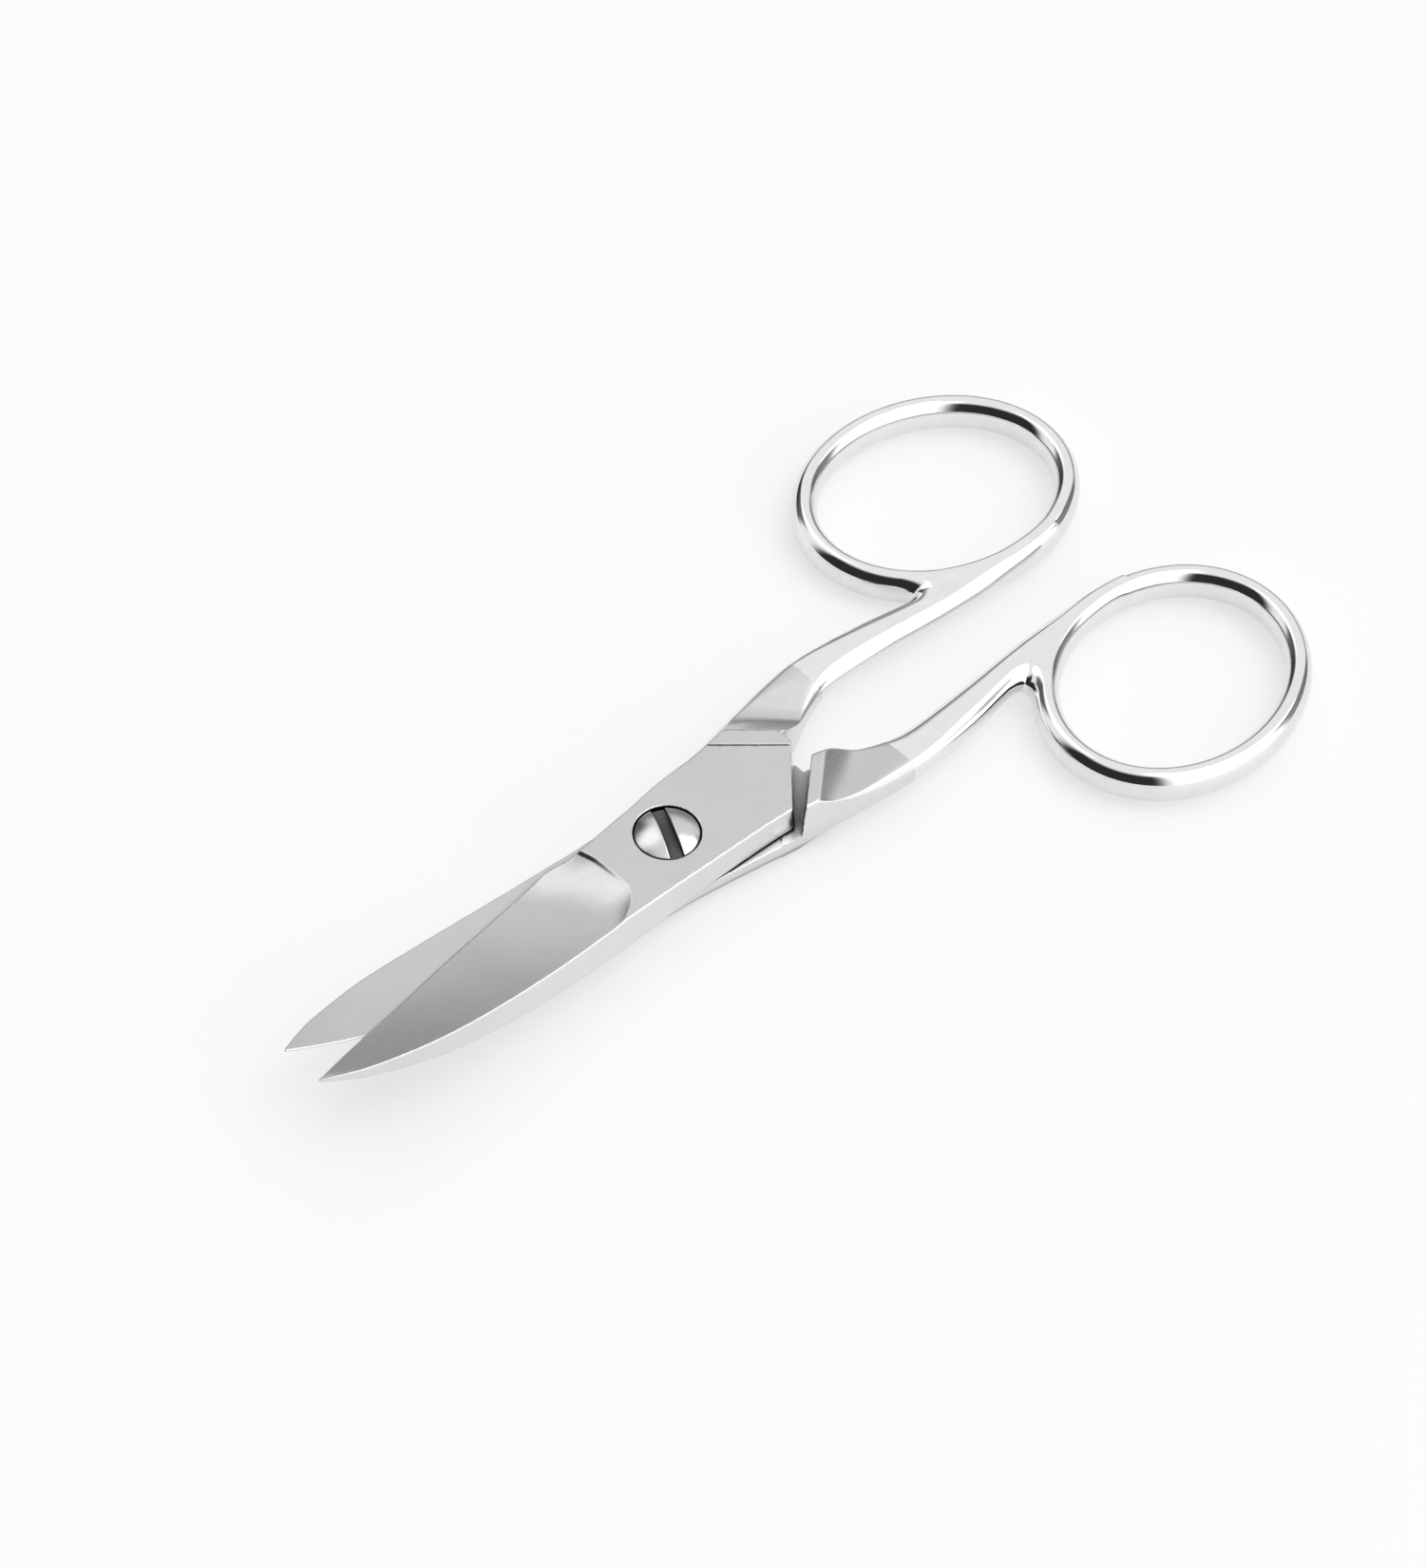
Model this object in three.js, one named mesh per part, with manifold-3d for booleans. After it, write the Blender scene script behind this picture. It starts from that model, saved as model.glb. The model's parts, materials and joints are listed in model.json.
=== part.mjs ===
// Small curved-blade scissors: two forged halves joined by a slotted pivot screw.
// Millimetres. The pivot axis is Z through the origin, the rings lie towards +X, and the
// scissors rest on z = 0. The upper half has its ring on +Y, the lower half on -Y.
import * as THREE from 'three';
import * as BufferGeometryUtils from 'three/addons/utils/BufferGeometryUtils.js';
import Module from 'manifold-3d';

const wasm = await Module();
wasm.setup();

// Levels above the table
const LEDGE_STEP = 0.15;
const LAYER = 2.6;
const SHEAR_Z = LEDGE_STEP + LAYER;
const FULL_HEIGHT = 2 * SHEAR_Z;
const SHEAR_GAP = 0.05;

// Pose in which the scissors are modelled, per half
const HALF_OPENING = THREE.MathUtils.degToRad(3.15);

// Blade
const TIP_X = -40;
const HEEL_X = -5;
const BEND_START = 6;
const BEND_RATE = 0.00476;
const SIDE_DRAFT = 0.6;
const EDGE_LAND = 0.15;
const HOLLOW = 1.35;

// Joint plate and shoulder
const PLATE_FRONT = -6.4;
const RING_SIDE_DRAFT = 1.05;
const SPINE_SIDE_DRAFT = 0.28;
const ARROW_EDGE = 15.3;
const ARROW_END = 14.95;
const FLAT_END = 13.7;
const SHOULDER = 16.1;
const FAR_RIDGE = 17.9;
const SHOULDER_DRAFT = 0.85;
const SCOOP_RADIUS = 7;
const SCOOP_REACH = 3.9;

// Shank and finger ring
const SHANK_TAPER = 0.2;
const RING_CENTRE = new THREE.Vector2(48, 12.5);
const RING_RADII = new THREE.Vector2(12.85, 10.55);
const RING_TILT = THREE.MathUtils.degToRad(-13.9);
const RING_WIDTH = 2.5;
const RING_HEIGHT = 3.6;
const RING_REST = 0.02;

// Pivot screw
const HEAD_RADIUS = 2.9;
const HEAD_SEAT = 1.0;
const HEAD_RIM = 0.15;
const DOME_RISE = 0.75;
const SHANK_RADIUS = 1.7;
const THREAD_RADIUS = 1.35;
const SHANK_INTO_LOWER = 0.4;
const SCREW_GAP = 0.08;
const SLOT_WIDTH = 1.2;
const SLOT_DEPTH = 0.95;
const SLOT_ANGLE = THREE.MathUtils.degToRad(66);
const ROUND_STEPS = 48;

const satinSteel = { color: 0xb9bcc0, roughness: 0.38, metalness: 1 };
const screwSteel = { color: 0xa9abaf, roughness: 0.32, metalness: 1 };

// Booleans -------------------------------------------------------------------------------

function toSolid(geometry) {
  const bare = geometry.clone();
  bare.deleteAttribute('normal');
  bare.deleteAttribute('uv');
  const merged = BufferGeometryUtils.mergeVertices(bare, 1e-4);
  return new wasm.Manifold(new wasm.Mesh({
    numProp: 3,
    vertProperties: new Float32Array(merged.attributes.position.array),
    triVerts: new Uint32Array(merged.index.array),
  }));
}

function toGeometry(solid) {
  const mesh = solid.getMesh();
  const geometry = new THREE.BufferGeometry();
  geometry.setAttribute('position', new THREE.BufferAttribute(mesh.vertProperties, 3));
  geometry.setIndex(new THREE.BufferAttribute(mesh.triVerts, 1));
  geometry.computeVertexNormals();
  return geometry;
}

function prism(points, zLow, zHigh) {
  const shape = new THREE.Shape(points.map(([x, y]) => new THREE.Vector2(x, y)));
  const geometry = new THREE.ExtrudeGeometry(shape, { depth: zHigh - zLow, bevelEnabled: false });
  return toSolid(geometry.translate(0, 0, zLow));
}

function rod(radius, zLow, zHigh) {
  const geometry = new THREE.CylinderGeometry(radius, radius, zHigh - zLow, ROUND_STEPS);
  return toSolid(geometry.rotateX(Math.PI / 2).translate(0, 0, (zLow + zHigh) / 2));
}

// Moves every vertex of a geometry to the place that the function gives for it.
function reshape(geometry, place) {
  const position = geometry.attributes.position;
  const point = new THREE.Vector3();
  for (let i = 0; i < position.count; i += 1) {
    point.fromBufferAttribute(position, i);
    position.setXYZ(i, ...place(point));
  }
  return geometry;
}

const mix = THREE.MathUtils.lerp;
const smooth = THREE.MathUtils.smoothstep;

function curveThrough(points) {
  return new THREE.SplineCurve(points.map(([x, y]) => new THREE.Vector2(x, y)));
}

// Round power for an oval section: 1 is an ellipse, less is boxier.
function ovalPart(value, power) {
  return Math.sign(value) * Math.abs(value) ** power;
}

// Blade ----------------------------------------------------------------------------------

// Both blades bend up along the same surface of revolution about the pivot, so that
// they slide over each other at every angle.
function bend(x, y) {
  const reach = Math.max(0, Math.hypot(x, y) - BEND_START);
  return BEND_RATE * reach * reach;
}

const spineCurve = curveThrough([
  [HEEL_X, -5.15], [-13.5, -5], [-21.5, -4.6], [-29.5, -3.7], [-35.5, -2.15], [TIP_X, -0.15],
]);
const edgeCurve = curveThrough([
  [HEEL_X, 5.5], [-13.5, 5], [-21.5, 4.05], [-29.5, 2.55], [-35.5, 1.3], [TIP_X, 0.1],
]);
const spineThickness = curveThrough([
  [0, 2.6], [0.25, 2.6], [0.5, 2.45], [0.75, 1.95], [0.9, 1.25], [1, 0.5],
]);

function blade(layer) {
  const block = new THREE.BoxGeometry(1, 1, 1, 44, 8, 1);
  reshape(block, ({ x, y, z }) => {
    const along = 0.5 - x;
    const across = y + 0.5;
    const outward = z + 0.5;
    const spine = spineCurve.getPoint(along);
    const edge = edgeCurve.getPoint(along);
    const thick = spineThickness.getPoint(along).y;
    const draft = SIDE_DRAFT * outward * (thick / LAYER) * (1 - across);
    const px = mix(spine.x, edge.x, across);
    const py = mix(spine.y, edge.y, across) + draft;
    const depth = mix(thick, EDGE_LAND, 1 - (1 - across) ** HOLLOW);
    const base = SHEAR_GAP + depth * outward;
    return [px, py, SHEAR_Z + bend(px, py) + layer * base];
  });
  return block;
}

// Joint plate ----------------------------------------------------------------------------

// A layer's plate is widest at the shear plane; its sides lean in to the outer face
function plate(layer) {
  const outline = new THREE.Shape();
  outline.moveTo(PLATE_FRONT - 1, 5.3);
  outline.lineTo(PLATE_FRONT - 1, -5.1);
  outline.quadraticCurveTo(3, -5.1, 11, -6.3);
  outline.lineTo(19, -6.3);
  outline.lineTo(19, 6.05);
  outline.lineTo(10, 6.05);
  outline.quadraticCurveTo(2, 5, PLATE_FRONT - 1, 5.3);
  const slab = new THREE.ExtrudeGeometry(outline, {
    depth: 2 * LAYER,
    steps: 2,
    bevelEnabled: false,
    curveSegments: 8,
  });
  reshape(slab, ({ x, y, z }) => {
    const outward = Math.abs(z - LAYER) / LAYER;
    return [x, y - outward * (y > 0 ? RING_SIDE_DRAFT : -SPINE_SIDE_DRAFT), SHEAR_Z - LAYER + z];
  });
  const arrow = prism([
    [PLATE_FRONT, -9], [ARROW_EDGE - 9, -9], [ARROW_END, ARROW_END - ARROW_EDGE], [ARROW_END, 9],
    [PLATE_FRONT, 9],
  ], 0, FULL_HEIGHT);
  return toSolid(slab).intersect(arrow).intersect(ownLayer(layer));
}

function ownLayer(layer) {
  const reach = 80;
  const face = SHEAR_Z + layer * SHEAR_GAP;
  const far = SHEAR_Z + layer * reach;
  const square = [[-reach, -reach], [reach, -reach], [reach, reach], [-reach, reach]];
  return prism(square, Math.min(face, far), Math.max(face, far));
}

// Everything beyond the 45 degree line x + y = start, on the ring side of the joint
function beyond(start) {
  const reach = 40;
  return prism([
    [start + reach, -reach], [start + reach, reach * 2], [start - reach * 2, reach * 2],
  ], -1, FULL_HEIGHT + 1);
}

// Handle ---------------------------------------------------------------------------------

const shankInner = curveThrough([
  [13, 0.4], [16.4, 0.75], [20, 2.1], [24, 2.8], [30, 2.3], [38, 1.25], [44, 0.7], [51, 0.85],
]);
const shankOuter = curveThrough([
  [10, 5.7], [14.5, 6.6], [19, 7.05], [24, 6.95], [30, 6.2], [36, 4.9], [43, 3.7], [51, 2.7],
]);

function shank() {
  const tube = new THREE.CylinderGeometry(1, 1, 1, 28, 44);
  return reshape(tube, ({ x, y, z }) => {
    const along = y + 0.5;
    const inner = shankInner.getPoint(along);
    const outer = shankOuter.getPoint(along);
    const across = 0.5 + 0.5 * ovalPart(x, 0.75);
    const middle = mix(SHEAR_Z, RING_REST + RING_HEIGHT / 2, smooth(along, 0.15, 0.75));
    const front = mix(SHEAR_Z, RING_HEIGHT / 2, smooth(along, 0, 0.4));
    const halfHeight = front * (1 - SHANK_TAPER * smooth(along, 0.8, 1));
    return [
      mix(inner.x, outer.x, across),
      mix(inner.y, outer.y, across),
      middle - halfHeight * ovalPart(z, 0.75),
    ];
  });
}

// The full-height block behind the joint, rounded at its sides, with the tongue that
// joins it to the flat of its own plate
function shoulderBlock(layer) {
  const face = new THREE.Shape();
  face.moveTo(8.8, 4.3);
  face.lineTo(14.6, 1.5);
  face.quadraticCurveTo(16.6, 1.4, 18.8, 2.5);
  face.lineTo(22.5, 4.1);
  face.lineTo(22.5, 5.4);
  face.quadraticCurveTo(15.5, 6.6, 11.2, 5.1);
  const tail = prism([
    [FLAT_END - 4.6, 4.6], [ARROW_END, FLAT_END - ARROW_END], [ARROW_END, 1.4], [12, 5],
  ], 0, FULL_HEIGHT);
  const slab = new THREE.ExtrudeGeometry(face, {
    depth: 2 * SHEAR_GAP,
    bevelThickness: SHEAR_Z - SHEAR_GAP,
    bevelSize: SHOULDER_DRAFT,
    bevelSegments: 4,
    curveSegments: 8,
  });
  return toSolid(slab.translate(0, 0, SHEAR_Z - SHEAR_GAP))
    .intersect(beyond(FLAT_END))
    .add(tail.intersect(ownLayer(layer)));
}

// A hollow across the handle behind the ridge, on the top or the underside: an arc, then
// level from the arc's deepest line
function scoop(ridge, side) {
  const length = 40;
  const rise = Math.sqrt(SCOOP_RADIUS ** 2 - SCOOP_REACH ** 2);
  const arc = new THREE.CylinderGeometry(SCOOP_RADIUS, SCOOP_RADIUS, length, 96);
  arc.translate(0, 0, rise);
  const level = new THREE.BoxGeometry(length, length, SCOOP_RADIUS);
  level.translate(length / 2, 0, rise - SCOOP_RADIUS / 2);
  const centre = ridge / 2 + SCOOP_REACH / Math.SQRT2;
  return [arc, level].map((geometry) => {
    geometry.rotateZ(Math.PI / 4);
    if (side < 0) geometry.rotateX(Math.PI).rotateZ(Math.PI / 2);
    return toSolid(geometry.translate(centre, centre, SHEAR_Z + side * SHEAR_Z));
  }).reduce((all, one) => all.add(one));
}

function ring() {
  const loop = new THREE.TorusGeometry(1, 0.3, 20, 72);
  const cosTilt = Math.cos(RING_TILT);
  const sinTilt = Math.sin(RING_TILT);
  return reshape(loop, ({ x, y, z }) => {
    const around = Math.atan2(y, x);
    const section = Math.atan2(z, Math.hypot(x, y) - 1);
    const along = new THREE.Vector2(RING_RADII.x * Math.cos(around), RING_RADII.y * Math.sin(around));
    const normal = new THREE.Vector2(along.x / RING_RADII.x ** 2, along.y / RING_RADII.y ** 2);
    normal.normalize();
    along.addScaledVector(normal, (RING_WIDTH / 2) * Math.cos(section));
    return [
      RING_CENTRE.x + along.x * cosTilt - along.y * sinTilt,
      RING_CENTRE.y + along.x * sinTilt + along.y * cosTilt,
      RING_REST + (RING_HEIGHT / 2) * (1 + Math.sin(section)),
    ];
  });
}

function ringOpening() {
  const hole = new THREE.Shape();
  const { x, y } = RING_RADII;
  const inset = RING_WIDTH / 2 + 0.02;
  hole.absellipse(RING_CENTRE.x, RING_CENTRE.y, x - inset, y - inset, 0, 2 * Math.PI, false, RING_TILT);
  const plug = new THREE.ExtrudeGeometry(hole, {
    depth: FULL_HEIGHT + 2,
    bevelEnabled: false,
    curveSegments: 36,
  });
  return toSolid(plug.translate(0, 0, -1));
}

// Halves ---------------------------------------------------------------------------------

function half(layer) {
  const upper = layer > 0;
  const keepClear = beyond(SHOULDER).add(ownLayer(layer));
  const handle = toSolid(shank())
    .intersect(beyond(FLAT_END))
    .add(shoulderBlock(layer))
    .intersect(keepClear)
    .subtract(scoop(upper ? SHOULDER : FAR_RIDGE, 1))
    .subtract(scoop(upper ? FAR_RIDGE : SHOULDER, -1));
  const ringed = handle.subtract(ringOpening()).add(toSolid(ring()));
  const front = toSolid(upper ? blade(layer) : turnedInsideOut(blade(layer)));
  const body = ringed.add(plate(layer)).add(front);
  return body.subtract(upper ? upperBore() : lowerBore());
}

function turnedInsideOut(geometry) {
  const index = geometry.index;
  for (let i = 0; i < index.count; i += 3) {
    const first = index.getX(i);
    index.setX(i, index.getX(i + 1));
    index.setX(i + 1, first);
  }
  return geometry;
}

const UPPER_FACE = SHEAR_Z + LAYER;
const SEAT_Z = UPPER_FACE - HEAD_SEAT;
const SHANK_END = SHEAR_Z - SHANK_INTO_LOWER;

function upperBore() {
  return rod(SHANK_RADIUS + SCREW_GAP, 0, FULL_HEIGHT)
    .add(rod(HEAD_RADIUS + SCREW_GAP, SEAT_Z, FULL_HEIGHT + 1));
}

function lowerBore() {
  return rod(THREAD_RADIUS + SCREW_GAP, -1, FULL_HEIGHT)
    .add(rod(SHANK_RADIUS + SCREW_GAP, SHANK_END - SCREW_GAP, FULL_HEIGHT));
}

// Pivot screw ----------------------------------------------------------------------------

function pivotScrew() {
  const rimZ = UPPER_FACE - HEAD_RIM;
  const domeRadius = (HEAD_RADIUS ** 2 + DOME_RISE ** 2) / (2 * DOME_RISE);
  const profile = [
    [0, 0], [THREAD_RADIUS, 0], [THREAD_RADIUS, SHANK_END],
    [SHANK_RADIUS, SHANK_END], [SHANK_RADIUS, SEAT_Z + SCREW_GAP],
    [HEAD_RADIUS, SEAT_Z + SCREW_GAP],
  ].map(([r, z]) => new THREE.Vector2(r, z));
  const steps = 10;
  for (let i = 0; i <= steps; i += 1) {
    const radius = HEAD_RADIUS * (1 - i / steps);
    const z = rimZ + Math.sqrt(domeRadius ** 2 - radius ** 2) - (domeRadius - DOME_RISE);
    profile.push(new THREE.Vector2(radius, z));
  }
  const turned = new THREE.LatheGeometry(profile, ROUND_STEPS).rotateX(Math.PI / 2);
  const slotFloor = rimZ + DOME_RISE - SLOT_DEPTH;
  const slot = new THREE.BoxGeometry(3 * HEAD_RADIUS, SLOT_WIDTH, 2 * DOME_RISE + SLOT_DEPTH);
  slot.rotateZ(SLOT_ANGLE).translate(0, 0, slotFloor + DOME_RISE + SLOT_DEPTH / 2);
  return toSolid(turned).subtract(toSolid(slot));
}

// Assembly -------------------------------------------------------------------------------

function named(name, geometry, finish) {
  const mesh = new THREE.Mesh(geometry, new THREE.MeshStandardMaterial(finish));
  mesh.name = name;
  return mesh;
}

function mirrored(geometry) {
  return turnedInsideOut(geometry.applyMatrix4(new THREE.Matrix4().makeScale(1, -1, 1)));
}

const upperHalf = named('upper_half', toGeometry(half(1)), satinSteel);
upperHalf.rotation.z = HALF_OPENING;

const lowerHalf = named('lower_half', mirrored(toGeometry(half(-1))), satinSteel);
lowerHalf.rotation.z = -HALF_OPENING;

const screw = named('pivot_screw', toGeometry(pivotScrew()), screwSteel);

const group = new THREE.Group();
group.add(upperHalf, lowerHalf, screw);

export default group;
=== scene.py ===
"""Small curved-blade scissors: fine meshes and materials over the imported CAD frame.

Each half is one forging, so its mesh is taken from one smooth distance-like field, in
millimetres and in the half's own frame: pivot on Z, ring towards +X and +Y, scissors closed.
"""

import json
import math

import bpy
import numpy as np
from mathutils import Matrix, Quaternion, Vector

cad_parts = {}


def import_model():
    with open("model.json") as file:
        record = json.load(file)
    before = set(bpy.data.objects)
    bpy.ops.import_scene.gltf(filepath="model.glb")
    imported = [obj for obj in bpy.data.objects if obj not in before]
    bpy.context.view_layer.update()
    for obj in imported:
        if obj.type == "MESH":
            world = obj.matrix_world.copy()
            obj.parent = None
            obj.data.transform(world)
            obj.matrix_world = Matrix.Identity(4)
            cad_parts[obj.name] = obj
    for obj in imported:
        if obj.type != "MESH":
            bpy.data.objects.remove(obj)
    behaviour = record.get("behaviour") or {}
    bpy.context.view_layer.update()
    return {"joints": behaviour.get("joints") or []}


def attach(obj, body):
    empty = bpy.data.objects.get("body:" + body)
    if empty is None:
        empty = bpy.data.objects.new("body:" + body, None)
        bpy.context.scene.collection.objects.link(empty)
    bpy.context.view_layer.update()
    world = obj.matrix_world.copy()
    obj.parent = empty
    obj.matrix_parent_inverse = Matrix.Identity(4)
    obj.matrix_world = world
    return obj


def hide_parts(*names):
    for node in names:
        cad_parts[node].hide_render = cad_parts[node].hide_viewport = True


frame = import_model()

MM = 0.001

# Levels above the table, mm. The halves meet at the height of the pivot joint.
pivot = next(joint for joint in frame["joints"] if joint["name"] == "scissor_pivot")
SHEAR_Z = round(pivot["pos_m"][2] / MM, 3)
LAYER = 2.6
LEDGE_STEP = SHEAR_Z - LAYER
SHEAR_GAP = 0.05
HALF_OPENING = math.radians(3.15)

# Blade, mm
TIP_X = -40.0
BEND_START = 6.0
BEND_RATE = 0.00476
EDGE_LAND = 0.25
HEEL_LAND = 0.75
HOLLOW = 1.02
GRIND_DEPTH_MIN = 0.18
GRIND_END = -6.3
GRIND_CORNER = 3.6
GRIND_TURN = -1.2
GRIND_TURN_WIDTH = 3.3
GRIND_WHEEL = 12.0
GRIND_WALL = 0.16

# Joint plate and shoulder, mm. The 45 degree lines are x + y or x - y = value.
PLATE_FRONT = -7.6
PLATE_BLEND = 2.6
ARROW_EDGE = 15.3
ARROW_END = 14.95
ARROW_DRAFT = 0.4
EXTRA_DRAFT = 0.75
FLAT_END = 13.7
SHOULDER = 16.1
SHOULDER_LEAN = 0.3
FAR_RIDGE = 17.9
SCOOP_RADIUS = 7.0
SCOOP_REACH = 3.9
SCOOP_TILT = 0.15

# How far the ring side of the handle leans in at its near and far faces, mm
UPPER_LEAN = 1.6
LOWER_LEAN = 0.8
FAR_LEAN = 0.7

# Finger ring, mm
RING_X, RING_Y = 48.0, 12.5
RING_A, RING_B = 12.85, 10.55
RING_TILT = math.radians(-13.9)
RING_WIDTH = 2.5
RING_HEIGHT = 3.6
RING_MID = 1.82
FILLET = 2.2
FILLET_END = 0.5

# Pivot screw, mm
HEAD_RADIUS = 2.9
HEAD_SEAT = 1.0
HEAD_RIM = 0.15
DOME_RISE = 0.75
SHANK_RADIUS = 1.7
THREAD_RADIUS = 1.35
THREAD_DEPTH = 0.16
THREAD_PITCH = 0.45
SHANK_INTO_LOWER = 0.4
SCREW_GAP = 0.08
SLOT_WIDTH = 1.2
SLOT_DEPTH = 0.95
SLOT_ANGLE = math.radians(66)

# Where the satin finish ends and the polished handle begins
FINISH_X = 22.2

# Brightness of the light tent, and its panels: azimuth, elevation, half width and half
# height in degrees, softness in degrees, share of the tent's brightness
TENT_LEVEL = 0.98
TENT_PANELS = (
    (15, 35, 55, 60, 14, 1.45),
    (-80, 24, 50, 38, 12, 0.03),
    (70, 12, 18, 26, 8, 0.2),
    (-178, 12, 18, 24, 8, 0.14),
    (-176, 56, 26, 14, 10, 1.6),
    (138, 4, 48, 17, 11, 0.3),
)

# Camera: degrees, metres, lens in mm, shift as a share of the frame
CAMERA_AZIMUTH, CAMERA_ELEVATION, CAMERA_ROLL = -42.35, 51.6, 0.33
CAMERA_DISTANCE = 0.3547
CAMERA_LENS = 94.0
CAMERA_SHIFT = (0.029, 0.0548)

# Grid steps of the meshes, mm
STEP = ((0.16, 0.14, 0.085))
SCREW_STEP = 0.05


# Curves ---------------------------------------------------------------------------------

def curve_through(points):
    """y as a function of x along a Catmull-Rom curve through the points."""
    p = np.array([points[0], *points, points[-1]], float)
    t = np.linspace(0, 1, 24, endpoint=False)[:, None]
    pieces = []
    for a, b, c, d in zip(p[:-3], p[1:-2], p[2:-1], p[3:]):
        v, w = (c - a) / 2, (d - b) / 2
        pieces.append(b + v * t + (3 * (c - b) - 2 * v - w) * t**2 + (2 * (b - c) + v + w) * t**3)
    line = np.vstack([*pieces, p[-1:]])
    order = np.argsort(line[:, 0])
    return lambda x: np.interp(x, line[order, 0], line[order, 1])


# Spine and ring side at the shear plane, and how far the spine leans in at the outer face
spine_at = curve_through([
    (TIP_X, -0.1), (-38, -1.15), (-35.5, -2.15), (-29.5, -3.7), (-21.5, -4.6), (-13.5, -5),
    (-5, -5.15), (0, -5.25), (5.8, -5.65), (9, -6), (14, -6.7),
])
edge_at = curve_through([
    (TIP_X, 0.1), (-35.5, 1.3), (-29.5, 2.55), (-21.5, 4.05), (-13.5, 4.9), (-8, 5.1), (-4, 5.2),
    (0, 5.15), (3, 5.35), (6, 5.65), (10, 6.05), (14, 6.35), (22, 7),
])
spine_draft_at = curve_through([
    (TIP_X, 0.05), (-35, 0.12), (-30, 0.45), (-24, 0.6), (-18, 0.75), (-11, 0.85), (-5, 0.6),
    (0, 0.28), (6, 0.2), (14, 0.2),
])
# How far the ring side of the joint plate leans in at the outer face
plate_draft_at = curve_through([
    (-9, 1.2), (-4.7, 1.2), (-2, 1.05), (0.7, 0.9), (3.7, 0.85), (8, 0.8), (14, 0.6),
])
thickness_at = curve_through([
    (TIP_X, 0.5), (-36.5, 1.25), (-31.2, 1.95), (-22.5, 2.45), (-13.7, 2.6), (0, 2.6), (20, 2.6),
])
inner_at = curve_through([
    (8, 0.6), (13, 0.4), (16.4, 0.75), (20, 2.1), (24, 2.8), (30, 2.3), (38, 1.25), (44, 0.75),
    (51, 0.95), (60, 2),
])
outer_at = curve_through([
    (7, 5.75), (10, 6.05), (14.5, 6.6), (19, 7.05), (24, 6.95), (30, 6.2), (36, 4.9), (43, 3.6),
    (51, 2.6), (60, 2.4),
])
mid_height_at = curve_through([(8, 2.75), (17, 2.75), (24, 2.5), (30, 2.15), (38, 1.87), (60, 1.8)])
half_height_at = curve_through([
    (8, 3.4), (16, 3.3), (19.5, 2.75), (24, 2.15), (30, 1.92), (38, 1.8), (46, 1.6), (60, 1.3),
])


# Field helpers --------------------------------------------------------------------------

def soft_max(a, b, radius):
    blend = np.maximum(radius - np.abs(a - b), 0) / radius
    return np.maximum(a, b) + blend * blend * radius / 4


def soft_min(a, b, radius):
    return -soft_max(-a, -b, radius)


def smooth_step(value, low, high):
    t = np.clip((value - low) / (high - low), 0, 1)
    return t * t * (3 - 2 * t)


# Fields of a half -----------------------------------------------------------------------

def ground_face(x, y):
    """Height of the hollow-ground blade face, with the arc where the wheel left the plate."""
    spine = spine_at(x)
    thick = thickness_at(x)
    across = np.clip((y - spine) / (edge_at(x) - spine + 1e-3), 0, 1)
    land = EDGE_LAND + (HEEL_LAND - EDGE_LAND) * smooth_step(x, -20, -7)
    ground = land + np.maximum(thick - land, 0) * (1 - across) ** HOLLOW
    corner = GRIND_CORNER * (np.maximum(GRIND_TURN - y, 0) / GRIND_TURN_WIDTH) ** 2.2
    line = GRIND_END - corner - 0.4 * smooth_step(y, 2, 4.5)
    depth = np.maximum(thick - ground, 0)
    depth = np.maximum(depth, GRIND_DEPTH_MIN * smooth_step(x, -16, -9))
    wall = GRIND_WALL * smooth_step(y, -1.5, 3)
    ramp = np.maximum(depth - wall, 0)
    length = np.sqrt(2 * GRIND_WHEEL * ramp) + 1e-3
    inside = np.clip((line - x) / length, 0, 1)
    return thick - wall * smooth_step(line - x, 0, 0.35) - ramp * (1 - (1 - inside) ** 2)


def blade_and_plate(x, y, out, upper):
    """The blade and joint plate. out is the distance from the shear plane into the half."""
    lift = np.clip(out / LAYER, 0, 1)
    on_plate = smooth_step(x, PLATE_FRONT - PLATE_BLEND, PLATE_FRONT)
    more = smooth_step(x, 2, 9.5) if upper else smooth_step(-x, 3, 6.5)
    draft = plate_draft_at(x) + EXTRA_DRAFT * more
    side = edge_at(x) - on_plate * draft * lift
    spine = spine_at(x) + spine_draft_at(x) * lift
    sides = soft_max((spine - y) * 0.95, (y - side) * 0.93, 0.1)
    sides = soft_max(sides, TIP_X - x, 0.15)
    faces = np.maximum(soft_max(out - ground_face(x, y), out - LAYER, 0.06), SHEAR_GAP - out)
    body = soft_max(sides, faces, 0.14)
    edge = ARROW_EDGE + ARROW_DRAFT * (1 - lift)
    arrow = soft_max((x - y - edge) / math.sqrt(2), x - ARROW_END, 0.15)
    arrow = np.maximum(arrow, (x + y - FLAT_END - 0.3) / math.sqrt(2))
    return soft_max(body, arrow, 0.1)


def shank(x, y, z, lean):
    """The bar from the joint to the ring, its section between an oval and a rounded box."""
    inner = inner_at(x)
    outer = outer_at(x)
    half_width = (outer - inner) / 2
    power = 3.0 - 0.8 * smooth_step(x, 19, 30)
    u = np.abs(y - (inner + outer) / 2) / half_width
    v = np.abs(z - mid_height_at(x)) / half_height_at(x)
    reach = (u**power + v**power) ** (1 / power)
    body = (reach - 1) * np.minimum(half_width, 2.2) * 0.85
    body = soft_max(body, y - outer + lean * (1 - smooth_step(x, 15, 26)), 0.25)
    return np.maximum(body, x - 52)


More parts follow.
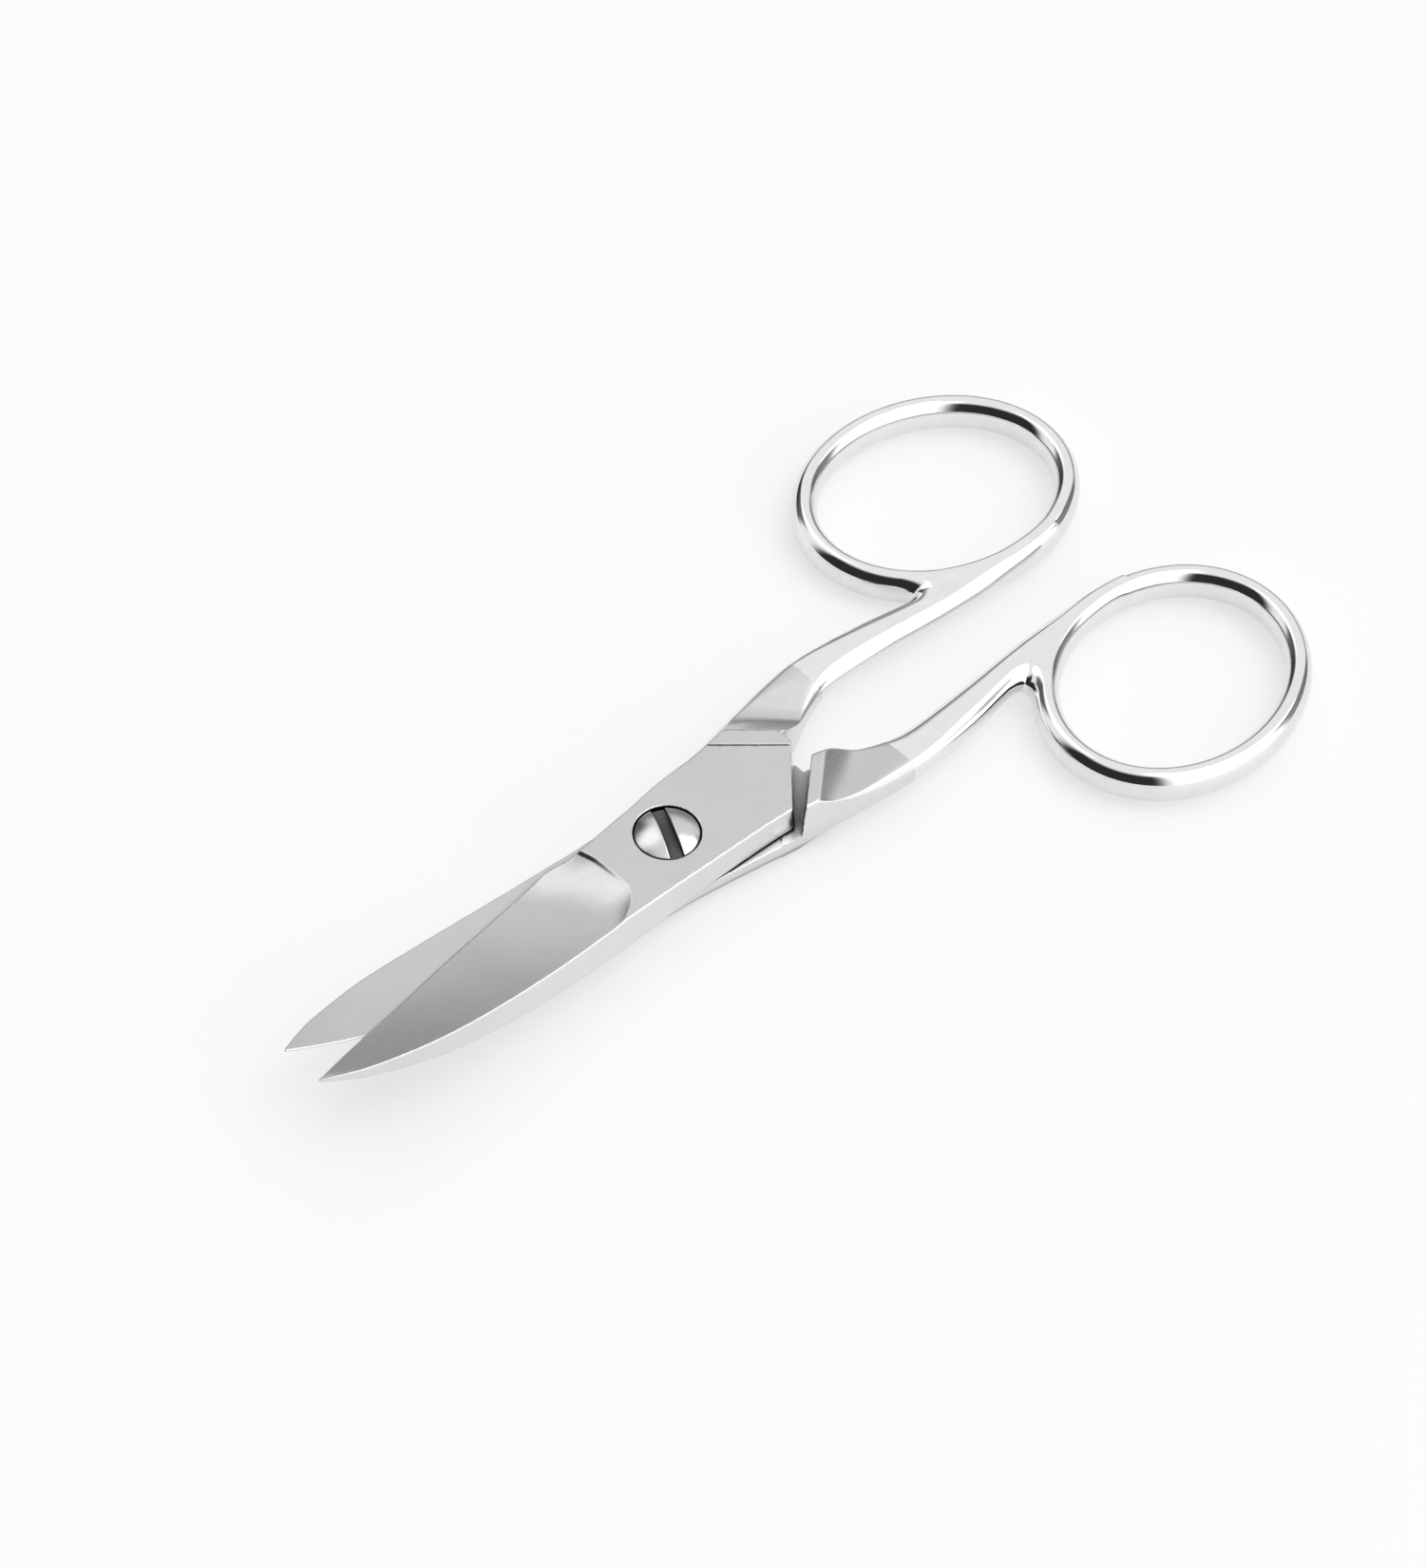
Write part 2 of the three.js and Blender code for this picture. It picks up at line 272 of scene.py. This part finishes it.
def ring(x, y, z):
    """The finger ring: an oval section swept round a tilted ellipse."""
    dx, dy = x - RING_X, y - RING_Y
    along = dx * math.cos(RING_TILT) + dy * math.sin(RING_TILT)
    across = -dx * math.sin(RING_TILT) + dy * math.cos(RING_TILT)
    first = np.sqrt((along / RING_A) ** 2 + (across / RING_B) ** 2) + 1e-6
    second = np.sqrt((along / RING_A**2) ** 2 + (across / RING_B**2) ** 2) + 1e-6
    from_line = first * (first - 1) / second
    u = from_line / (RING_WIDTH / 2)
    v = (z - RING_MID) / (RING_HEIGHT / 2)
    return (np.sqrt(u * u + v * v) - 1) * RING_WIDTH / 2


def scoop_depth(behind):
    """Depth of the scoop at a distance behind its ridge: an arc, then level."""
    rise = math.sqrt(SCOOP_RADIUS**2 - SCOOP_REACH**2)
    arc = np.clip(behind, 0, SCOOP_REACH) - SCOOP_REACH
    depth = np.sqrt(SCOOP_RADIUS**2 - arc**2) - rise
    before = np.minimum(behind, 0) * SCOOP_REACH / rise
    return depth + before


def handle(x, y, z, out, upper):
    """The shoulder, the shank with a scoop behind each ridge, and the ring."""
    diagonal = (x + y) / math.sqrt(2)
    fillet = FILLET + (FILLET_END - FILLET) * smooth_step(x, 36, 46)
    near_lean = UPPER_LEAN if upper else LOWER_LEAN
    lean = np.where(out > 0, near_lean, FAR_LEAN) * np.abs(out) / SHEAR_Z
    body = soft_max(shank(x, y, z, lean), np.abs(out) - SHEAR_Z, 0.12)
    for side, ridge in ((1, SHOULDER), (-1, FAR_RIDGE)):
        behind = diagonal - ridge / math.sqrt(2)
        tilt = SCOOP_TILT * smooth_step(behind, 0, 3) * (1 - smooth_step(x, 24, 34))
        depth = scoop_depth(behind) + tilt * np.clip(outer_at(x) - y, 0, 6)
        cut = (side * out - SHEAR_Z + depth) * 0.88
        body = soft_max(body, cut, 0.12 + 0.9 * smooth_step(behind, 1.5, 8))
    crown = np.maximum(mid_height_at(x) + half_height_at(x), RING_MID + RING_HEIGHT / 2)
    body = soft_max(soft_min(body, ring(x, y, z), fillet), z - crown, 0.15)
    wall = (SHOULDER - SHOULDER_LEAN * out / SHEAR_Z) / math.sqrt(2) - diagonal
    kept = np.minimum(wall, SHEAR_GAP - out)
    body = soft_max(body, kept, 0.1)
    body = soft_max(body, FLAT_END / math.sqrt(2) - diagonal, 0.08)
    tail = np.maximum(FLAT_END / math.sqrt(2) - diagonal, diagonal - SHOULDER / math.sqrt(2))
    tail = soft_max(tail, x - ARROW_END, 0.15)
    tail = soft_max(tail, (x - y - ARROW_EDGE) / math.sqrt(2), 0.12)
    tail = soft_max(tail, y - outer_at(x) + lean, 0.2)
    tail = soft_max(tail, out - SHEAR_Z, 0.12)
    tail = np.maximum(tail, SHEAR_GAP - out)
    return np.minimum(body, tail)


def bore(x, y, out, layer):
    """The screw's hole: a clear hole and head seat above, a threaded hole below."""
    radius = np.hypot(x, y)
    if layer > 0:
        hole = radius - SHANK_RADIUS - SCREW_GAP
        seat = np.maximum(radius - HEAD_RADIUS - SCREW_GAP, LAYER - HEAD_SEAT - out)
        return np.minimum(hole, seat)
    hole = radius - THREAD_RADIUS - SCREW_GAP
    wide = np.maximum(radius - SHANK_RADIUS - SCREW_GAP, out - SHANK_INTO_LOWER - SCREW_GAP)
    return np.minimum(hole, wide)


def half_field(layer):
    def field(x, y, z):
        out = layer * (z - SHEAR_Z)
        plate = blade_and_plate(x, y, out, layer > 0)
        body = soft_min(plate, handle(x, y, z, out, layer > 0), 0.05)
        return soft_max(body, -bore(x, y, out, layer), 0.08)

    return field


# Meshing --------------------------------------------------------------------------------

def surface_net(field, low, high, step):
    """Vertices and quads of the field's zero surface, one vertex for each crossed cell."""
    axes = [np.arange(a, b + s, s) for a, b, s in zip(low, high, step)]
    x, y, z = np.meshgrid(*axes, indexing="ij", sparse=True)
    values = np.broadcast_to(field(x, y, z), [len(a) for a in axes]).astype(np.float32)
    inside = values < 0
    corners = [(i, j, k) for i in (0, 1) for j in (0, 1) for k in (0, 1)]

    def shifted(grid, corner):
        return grid[tuple(slice(c, n - 1 + c) for c, n in zip(corner, grid.shape))]

    count = sum(shifted(inside, c).astype(np.int8) for c in corners)
    cells = np.argwhere((count > 0) & (count < 8))
    number = np.full(count.shape, -1, np.int32)
    number[tuple(cells.T)] = np.arange(len(cells))
    total = np.zeros((len(cells), 3))
    hits = np.zeros(len(cells))
    for a in corners:
        for axis in range(3):
            if a[axis]:
                continue
            b = tuple(1 if n == axis else v for n, v in enumerate(a))
            va = values[tuple((cells + a).T)].astype(float)
            vb = values[tuple((cells + b).T)].astype(float)
            crossed = (va < 0) != (vb < 0)
            share = np.where(crossed, va / np.where(crossed, va - vb, 1), 0)
            point = np.array(a, float) + share[:, None] * (np.array(b) - a)
            total[crossed] += point[crossed]
            hits += crossed
    points = (cells + total / hits[:, None]) * step + np.array(low)
    quads = []
    for axis in range(3):
        ahead = [slice(None)] * 3
        behind = [slice(None)] * 3
        ahead[axis], behind[axis] = slice(1, None), slice(None, -1)
        change = inside[tuple(ahead)] != inside[tuple(behind)]
        leaving = inside[tuple(behind)]
        at = np.argwhere(change)
        others = [n for n in range(3) if n != axis]
        keep = np.all(at[:, others] > 0, axis=1)
        keep &= np.all(at[:, others] < np.array(inside.shape)[others] - 1, axis=1)
        at = at[keep]
        u = np.eye(3, dtype=int)[others[0]]
        v = np.eye(3, dtype=int)[others[1]]
        ring_cells = [number[tuple((at - s).T)] for s in (u + v, v, 0 * u, u)]
        quad = np.stack(ring_cells, 1)
        flip = leaving[tuple(at.T)] == (axis == 1)
        quad[flip] = quad[flip][:, ::-1]
        quads.append(quad)
    return points, np.vstack(quads)


def gradient(field, p):
    small = 0.01
    columns = []
    for axis in range(3):
        step = np.zeros(3)
        step[axis] = small
        columns.append((field(*(p + step).T) - field(*(p - step).T)) / (2 * small))
    return np.stack(columns, 1)


def settle(field, points):
    """Moves the points onto the zero surface and returns them with their normals."""
    for _ in range(3):
        slope = gradient(field, points)
        size = np.maximum((slope**2).sum(1), 0.05)
        move = field(*points.T)[:, None] * slope / size[:, None]
        points = points - np.clip(move, -0.06, 0.06)
    slope = gradient(field, points)
    return points, slope / np.maximum(np.linalg.norm(slope, axis=1), 1e-6)[:, None]


def bend_up(points, normals):
    """Raises the blade along the surface of revolution that both blades share."""
    reach = np.hypot(points[:, 0], points[:, 1])
    past = np.where(points[:, 0] < 0, np.maximum(reach - BEND_START, 0), 0)
    slope = (2 * BEND_RATE * past / np.maximum(reach, 1e-6))[:, None] * points[:, :2]
    raised = points.copy()
    raised[:, 2] += BEND_RATE * past**2
    turned = normals.copy()
    turned[:, :2] -= slope * normals[:, 2:]
    return raised, turned / np.linalg.norm(turned, axis=1)[:, None]


def open_shell(name, points, normals, quads, used):
    """A mesh of the chosen quads, with the cut end closed."""
    faces = quads[used]
    kept, renumbered = np.unique(faces, return_inverse=True)
    faces = renumbered.reshape(faces.shape)
    mesh = bpy.data.meshes.new(name)
    mesh.from_pydata((points[kept] * MM).tolist(), [], close_end(faces))
    mesh.validate()
    mesh.shade_smooth()
    mesh.normals_split_custom_set_from_vertices(normals[kept].tolist())
    return bpy.data.objects.new(name, mesh)


def close_end(faces):
    """The faces, with one more for the open boundary where the halves were parted."""
    ends = np.stack([faces, np.roll(faces, -1, 1)], 2).reshape(-1, 2)
    there = {tuple(e) for e in ends.tolist()}
    after = {b: a for a, b in there if (b, a) not in there}
    polygons = faces.tolist()
    while after:
        start, following = after.popitem()
        loop = [start]
        while following != start:
            loop.append(following)
            following = after.pop(following)
        polygons.append(loop)
    return polygons


def make_half(layer, blade_name, handle_name, body):
    """The blade and the handle of one half, parted where the finish changes."""
    field = half_field(layer)
    low, high = (-40.4, -7.2, -0.25), (62.8, 25.6, 2 * SHEAR_Z + 0.25)
    points, quads = surface_net(field, low, high, STEP)
    points, normals = settle(field, points)
    on_handle = points[quads][:, :, 0].mean(1) > FINISH_X
    points, normals = bend_up(points, normals)
    if layer < 0:
        points[:, 1] *= -1
        normals[:, 1] *= -1
        quads = quads[:, ::-1]
    turn = np.array(Matrix.Rotation(layer * HALF_OPENING, 3, "Z"))
    points, normals = points @ turn.T, normals @ turn.T
    made = []
    for name, used in ((blade_name, ~on_handle), (handle_name, on_handle)):
        piece = open_shell(name, points, normals, quads, used)
        bpy.context.collection.objects.link(piece)
        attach(piece, body)
        made.append(piece)
    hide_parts(body)
    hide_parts(body)
    return made


# Pivot screw ----------------------------------------------------------------------------

def screw_field(x, y, z):
    """Domed and slotted head, plain stem and threaded end."""
    radius = np.hypot(x, y)
    rim = SHEAR_Z + LAYER - HEAD_RIM
    ball = (HEAD_RADIUS**2 + DOME_RISE**2) / (2 * DOME_RISE)
    dome = np.sqrt(radius**2 + (z - rim - DOME_RISE + ball) ** 2) - ball
    seat = SHEAR_Z + LAYER - HEAD_SEAT + SCREW_GAP
    head = soft_max(soft_max(radius - HEAD_RADIUS, dome, 0.12), seat - z, 0.08)
    stem = soft_max(radius - SHANK_RADIUS, SHEAR_Z - SHANK_INTO_LOWER - z, 0.12)
    turn = np.arctan2(y, x) / (2 * math.pi)
    wave = np.abs((z / THREAD_PITCH - turn) % 1 - 0.5) * 2
    threaded = radius - THREAD_RADIUS + THREAD_DEPTH * wave
    thread = soft_max(np.maximum(threaded * 0.8, z - SHEAR_Z), -z, 0.12)
    head = np.maximum(head, z - rim - DOME_RISE)
    stem = np.maximum(stem, z - seat - 0.3)
    body = np.minimum(np.minimum(head, stem), thread)
    across = np.abs(-x * math.sin(SLOT_ANGLE) + y * math.cos(SLOT_ANGLE))
    slot = soft_max(across - SLOT_WIDTH / 2, rim + DOME_RISE - SLOT_DEPTH - z, 0.1)
    return soft_max(body, -slot, 0.12)


def make_screw():
    low, high = (-3.1, -3.1, -0.2), (3.1, 3.1, 6.4)
    points, quads = surface_net(screw_field, low, high, (SCREW_STEP,) * 3)
    points, normals = settle(screw_field, points)
    piece = open_shell("screw_visual", points, normals, quads, slice(None))
    bpy.context.collection.objects.link(piece)
    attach(piece, "pivot_screw")
    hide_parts("pivot_screw")
    return piece


# Materials ------------------------------------------------------------------------------

class Nodes:
    """A small helper that adds and links the nodes of one material."""

    def __init__(self, name):
        self.material = bpy.data.materials.new(name)
        self.material.use_nodes = True
        self.tree = self.material.node_tree
        self.shader = self.tree.nodes["Principled BSDF"]
        self.place = self.add("ShaderNodeTexCoord").outputs["Object"]

    def add(self, kind, **values):
        node = self.tree.nodes.new(kind)
        for key, value in values.items():
            if key in node.inputs:
                node.inputs[key].default_value = value
            else:
                setattr(node, key, value)
        return node

    def link(self, out, into):
        self.tree.links.new(out, into)

    def noise(self, scale, detail=4.0, stretch=(1, 1, 1)):
        mapping = self.add("ShaderNodeMapping")
        mapping.inputs["Scale"].default_value = stretch
        self.link(self.place, mapping.inputs["Vector"])
        noise = self.add("ShaderNodeTexNoise", Scale=scale, Detail=detail)
        self.link(mapping.outputs["Vector"], noise.inputs["Vector"])
        return noise.outputs["Fac"]

    def ranged(self, value, low, high, start=0.3, end=0.7):
        ramp = self.add("ShaderNodeMapRange")
        for key, number in (("From Min", start), ("From Max", end), ("To Min", low), ("To Max", high)):
            ramp.inputs[key].default_value = number
        self.link(value, ramp.inputs["Value"])
        return ramp.outputs["Result"]

    def grey(self, value):
        both = self.add("ShaderNodeCombineColor")
        for socket in both.inputs:
            self.link(value, socket)
        return both.outputs["Color"]

    def multiply(self, a, b):
        node = self.add("ShaderNodeMath", operation="MULTIPLY")
        self.link(a, node.inputs[0])
        self.link(b, node.inputs[1])
        return node.outputs[0]

    def painted_gap_shade(self):
        """Painted shade: darker in narrow gaps and recesses, where less light reaches."""
        corner = self.add("ShaderNodeAmbientOcclusion", samples=8, Distance=0.0015)
        return self.ranged(corner.outputs["AO"], 0.08, 1.0, 0.35, 0.85)

    def bump(self, height, depth, before=None):
        node = self.add("ShaderNodeBump", Strength=1.0, Distance=depth)
        self.link(height, node.inputs["Height"])
        if before is not None:
            self.link(before, node.inputs["Normal"])
        return node.outputs["Normal"]

    def finish(self, colour, roughness, normal):
        self.shader.inputs["Metallic"].default_value = 1.0
        self.link(colour, self.shader.inputs["Base Color"])
        self.link(roughness, self.shader.inputs["Roughness"])
        self.link(normal, self.shader.inputs["Normal"])
        return self.material


def satin_steel():
    """Fine grain on the ground faces, and a brighter, closer finish on the side walls."""
    n = Nodes("satin_steel")
    grain = n.noise(900, 3, (0.4, 5, 1))
    fine = n.noise(1800, 2, (0.5, 3, 1))
    cloud = n.noise(160, 2)
    split = n.add("ShaderNodeSeparateXYZ")
    n.link(n.add("ShaderNodeNewGeometry").outputs["Normal"], split.inputs[0])
    facing = n.add("ShaderNodeMath", operation="ABSOLUTE")
    n.link(split.outputs["Z"], facing.inputs[0])
    shade = n.ranged(facing.outputs[0], 1.2, 1.0, 0.55, 0.85)
    smoothness = n.ranged(facing.outputs[0], 0.7, 1.0, 0.55, 0.85)
    tone = n.multiply(n.ranged(grain, 0.58, 0.592), n.ranged(cloud, 0.98, 1.02))
    # The colour is darkened by painted shade in narrow gaps and recesses.
    colour = n.grey(n.multiply(n.multiply(tone, shade), n.painted_gap_shade()))
    roughness = n.multiply(n.ranged(fine, 0.27, 0.33), smoothness)
    return n.finish(colour, roughness, n.bump(fine, 0.0000002))


def polished_nickel():
    """Mirror finish with faint smears and a slight waviness."""
    n = Nodes("polished_nickel")
    wave = n.noise(120, 2)
    smear = n.noise(500, 4, (1, 2.5, 1))
    colour = n.grey(n.ranged(smear, 0.78, 0.82))
    roughness = n.multiply(n.ranged(smear, 0.035, 0.07), n.ranged(wave, 0.8, 1.2))
    return n.finish(colour, roughness, n.bump(wave, 0.000006))


def turned_steel():
    """Fine turned finish, with painted shade below the rim, which is the floor of the slot."""
    n = Nodes("turned_steel")
    spot = n.noise(1400, 4)
    cloud = n.noise(300, 2)
    height = n.add("ShaderNodeSeparateXYZ")
    n.link(n.place, height.inputs[0])
    rim = (SHEAR_Z + LAYER - HEAD_RIM) * MM
    # Painted shade: the colour is darker below the rim, on the floor of the slot.
    painted_slot_shade = n.ranged(height.outputs["Z"], 0.2, 1.0, rim - 0.1 * MM, rim + 0.1 * MM)
    # The colour also takes painted shade in narrow gaps and recesses.
    colour = n.grey(n.multiply(n.multiply(n.ranged(spot, 0.6, 0.65), n.painted_gap_shade()), painted_slot_shade))
    roughness = n.multiply(n.ranged(spot, 0.17, 0.23), n.ranged(cloud, 0.9, 1.1))
    return n.finish(colour, roughness, n.bump(spot, 0.000002))


# Stage ----------------------------------------------------------------------------------

def floor():
    """A pale sheet, just under the part, that gives off some of its own light."""
    mesh = bpy.data.meshes.new("floor")
    reach, level = 3.0, -0.00002
    signs = [(-1, -1), (1, -1), (1, 1), (-1, 1)]
    corners = [(reach * i, reach * j, level) for i, j in signs]
    mesh.from_pydata(corners, [], [(0, 1, 2, 3)])
    piece = bpy.data.objects.new("floor", mesh)
    bpy.context.collection.objects.link(piece)
    material = bpy.data.materials.new("floor")
    material.use_nodes = True
    shader = material.node_tree.nodes["Principled BSDF"]
    shader.inputs["Base Color"].default_value = (0.32, 0.32, 0.322, 1)
    shader.inputs["Roughness"].default_value = 0.5
    shader.inputs["Emission Color"].default_value = (1, 1, 1, 1)
    shader.inputs["Emission Strength"].default_value = 0.61
    mesh.materials.append(material)


def softbox(name, place, aim, size, energy):
    light = bpy.data.lights.new(name, "AREA")
    light.shape = "RECTANGLE"
    light.size, light.size_y = size
    light.energy = energy
    piece = bpy.data.objects.new(name, light)
    piece.location = place
    piece.rotation_euler = (Vector(aim) - Vector(place)).to_track_quat("-Z", "Y").to_euler()
    bpy.context.collection.objects.link(piece)


def world():
    """A bright tent with darker openings; azimuths are measured from -Y towards +X."""
    sky = bpy.data.worlds.new("tent")
    sky.use_nodes = True
    bpy.context.scene.world = sky
    tree = sky.node_tree

    def math_node(operation, *values):
        node = tree.nodes.new("ShaderNodeMath")
        node.operation = operation
        for socket, value in zip(node.inputs, values):
            if isinstance(value, (int, float)):
                socket.default_value = value
            else:
                tree.links.new(value, socket)
        return node.outputs[0]

    def window(value, half, soft):
        node = tree.nodes.new("ShaderNodeMapRange")
        node.interpolation_type = "SMOOTHERSTEP"
        for key, number in (("From Min", half + soft), ("From Max", half - soft)):
            node.inputs[key].default_value = math.radians(number)
        tree.links.new(value, node.inputs["Value"])
        return node.outputs["Result"]

    split = tree.nodes.new("ShaderNodeSeparateXYZ")
    tree.links.new(tree.nodes.new("ShaderNodeTexCoord").outputs["Generated"], split.inputs[0])
    x, y, z = split.outputs
    azimuth = math_node("ARCTAN2", x, math_node("MULTIPLY", y, -1))
    elevation = math_node("ARCSINE", z)
    level = TENT_LEVEL
    for side, height, half_side, half_height, soft, share in TENT_PANELS:
        turned = math_node("SUBTRACT", azimuth, math.radians(side))
        turned = math_node("ABSOLUTE", math_node("WRAP", turned, math.pi, -math.pi))
        raised = math_node("ABSOLUTE", math_node("SUBTRACT", elevation, math.radians(height)))
        inside = math_node(
            "MULTIPLY", window(turned, half_side, soft), window(raised, half_height, soft))
        level = math_node("MULTIPLY", level, math_node("MULTIPLY_ADD", inside, share - 1, 1))
    background = tree.nodes["Background"]
    background.inputs["Color"].default_value = (1, 1, 1, 1)
    tree.links.new(level, background.inputs["Strength"])


# Camera ---------------------------------------------------------------------------------

def camera():
    azimuth, elevation = math.radians(CAMERA_AZIMUTH), math.radians(CAMERA_ELEVATION)
    roll = math.radians(CAMERA_ROLL)
    aim = Vector((0, 0, LEDGE_STEP * MM))
    back = Vector((
        math.sin(azimuth) * math.cos(elevation), -math.cos(azimuth) * math.cos(elevation),
        math.sin(elevation),
    ))
    data = bpy.data.cameras.new("camera")
    data.sensor_width = 36
    data.lens = CAMERA_LENS
    data.shift_x, data.shift_y = CAMERA_SHIFT
    data.clip_start, data.clip_end = 0.01, 20
    piece = bpy.data.objects.new("camera", data)
    piece.location = aim + back * CAMERA_DISTANCE
    piece.rotation_mode = "QUATERNION"
    piece.rotation_quaternion = (-back).to_track_quat("-Z", "Y") @ Quaternion((0, 0, 1), roll)
    bpy.context.collection.objects.link(piece)
    bpy.context.scene.camera = piece


# Scene ----------------------------------------------------------------------------------

camera()
floor()
world()
softbox("overhead", (0.5, -0.3, 1.0), (0, 0, 0), (0.8, 0.8), 3)
bpy.context.scene.view_settings.view_transform = "Standard"

satin, polish, turned = satin_steel(), polished_nickel(), turned_steel()
upper_blade, upper_handle = make_half(1, "upper_blade", "upper_handle", "upper_half")
lower_blade, lower_handle = make_half(-1, "lower_blade", "lower_handle", "lower_half")
screw = make_screw()
for piece, material, slot in (
    (upper_blade, satin, "satin_steel"),
    (lower_blade, satin, "satin_steel"),
    (upper_handle, polish, "polished_handle"),
    (lower_handle, polish, "polished_handle"),
    (screw, turned, "screw_steel"),
):
    piece.data.materials.append(material)
